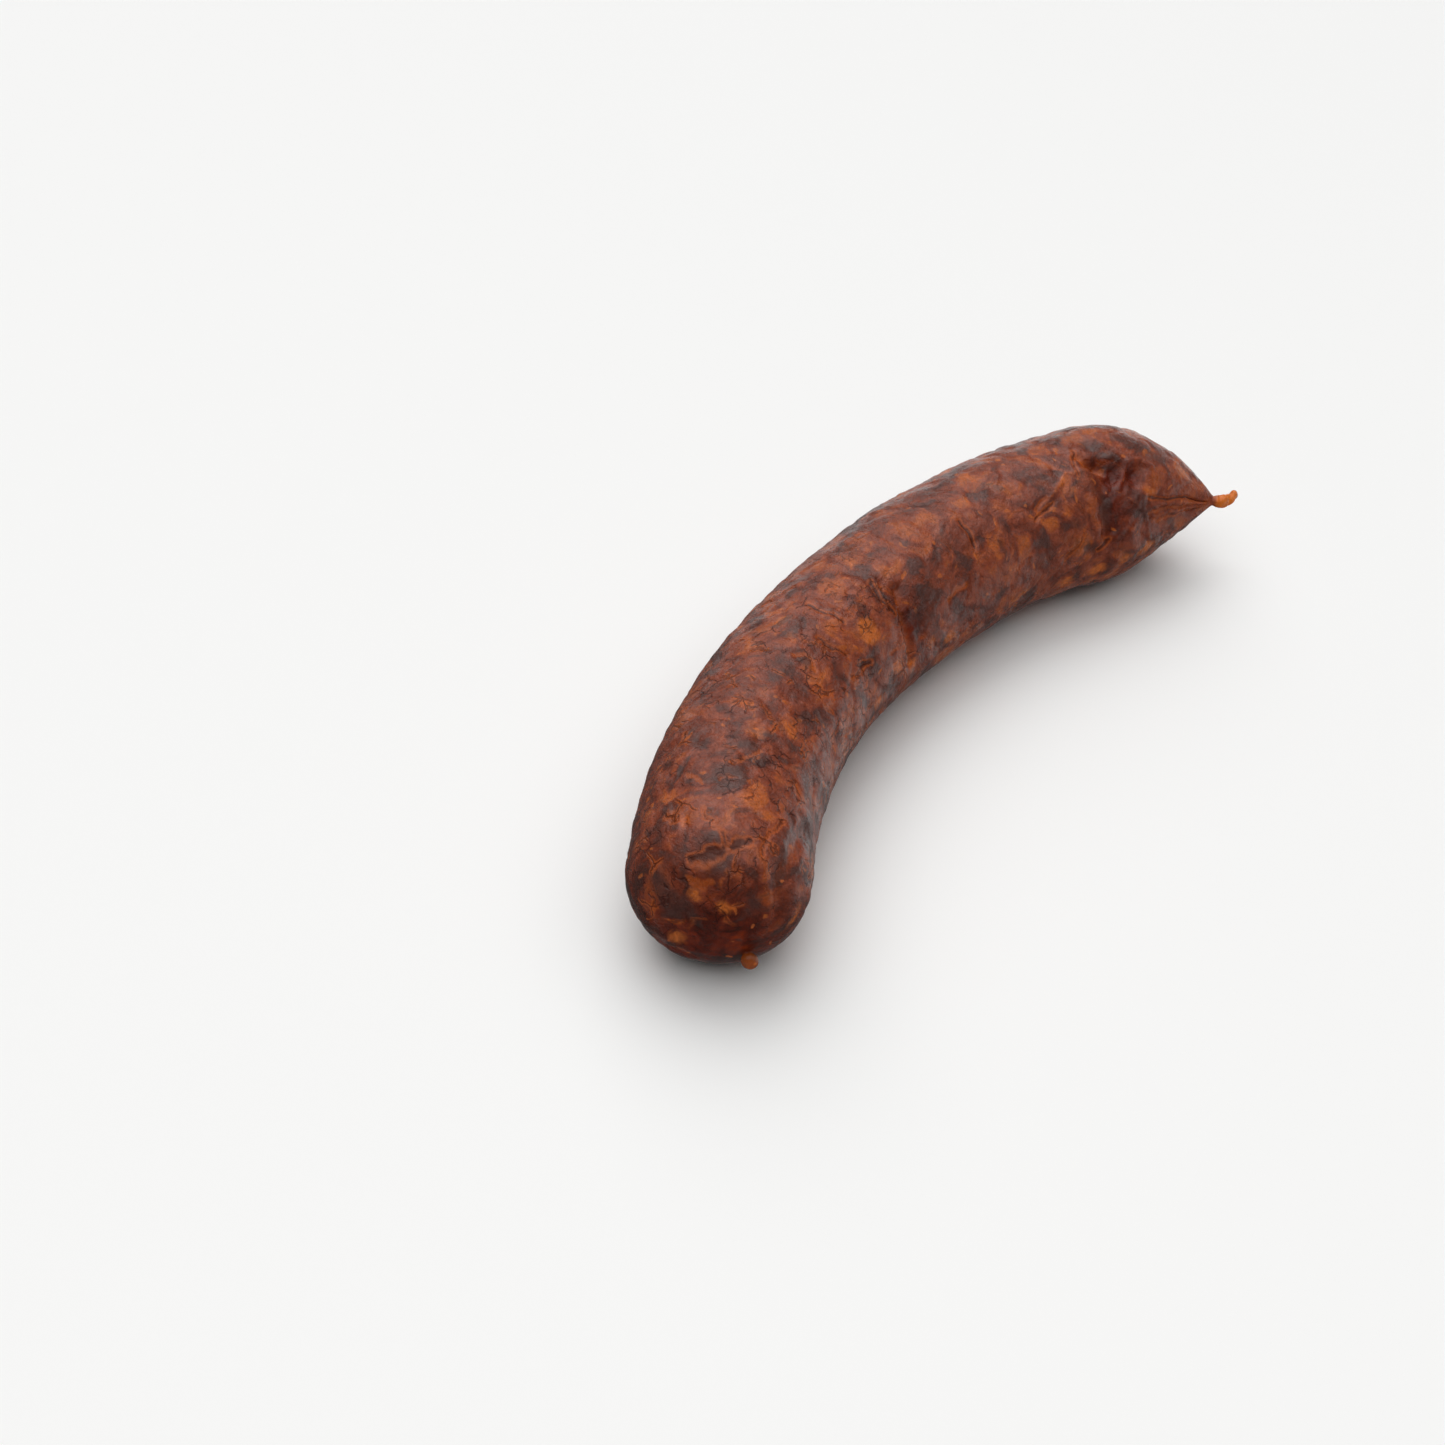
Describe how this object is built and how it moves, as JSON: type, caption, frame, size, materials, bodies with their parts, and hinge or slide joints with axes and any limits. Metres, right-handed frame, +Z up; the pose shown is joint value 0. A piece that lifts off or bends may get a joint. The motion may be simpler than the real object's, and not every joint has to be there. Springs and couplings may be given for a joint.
{
  "type": "cured sausage",
  "caption": "Thick curved cured sausage in a wrinkled natural casing, one end round with a small knot, the other tapering to a twisted tail.",
  "frame": {"origin": "on the table top, under the middle of the sausage's box", "axes": "+X from the blunt end to the tapered end, +Y to the outside of the bend, +Z up"},
  "size_m": [0.2162, 0.078, 0.0391],
  "materials": {
    "cured_meat": "satin"
  },
  "bodies": {
    "root": {"cured_sausage": "cured_meat"}
  },
  "joints": []
}
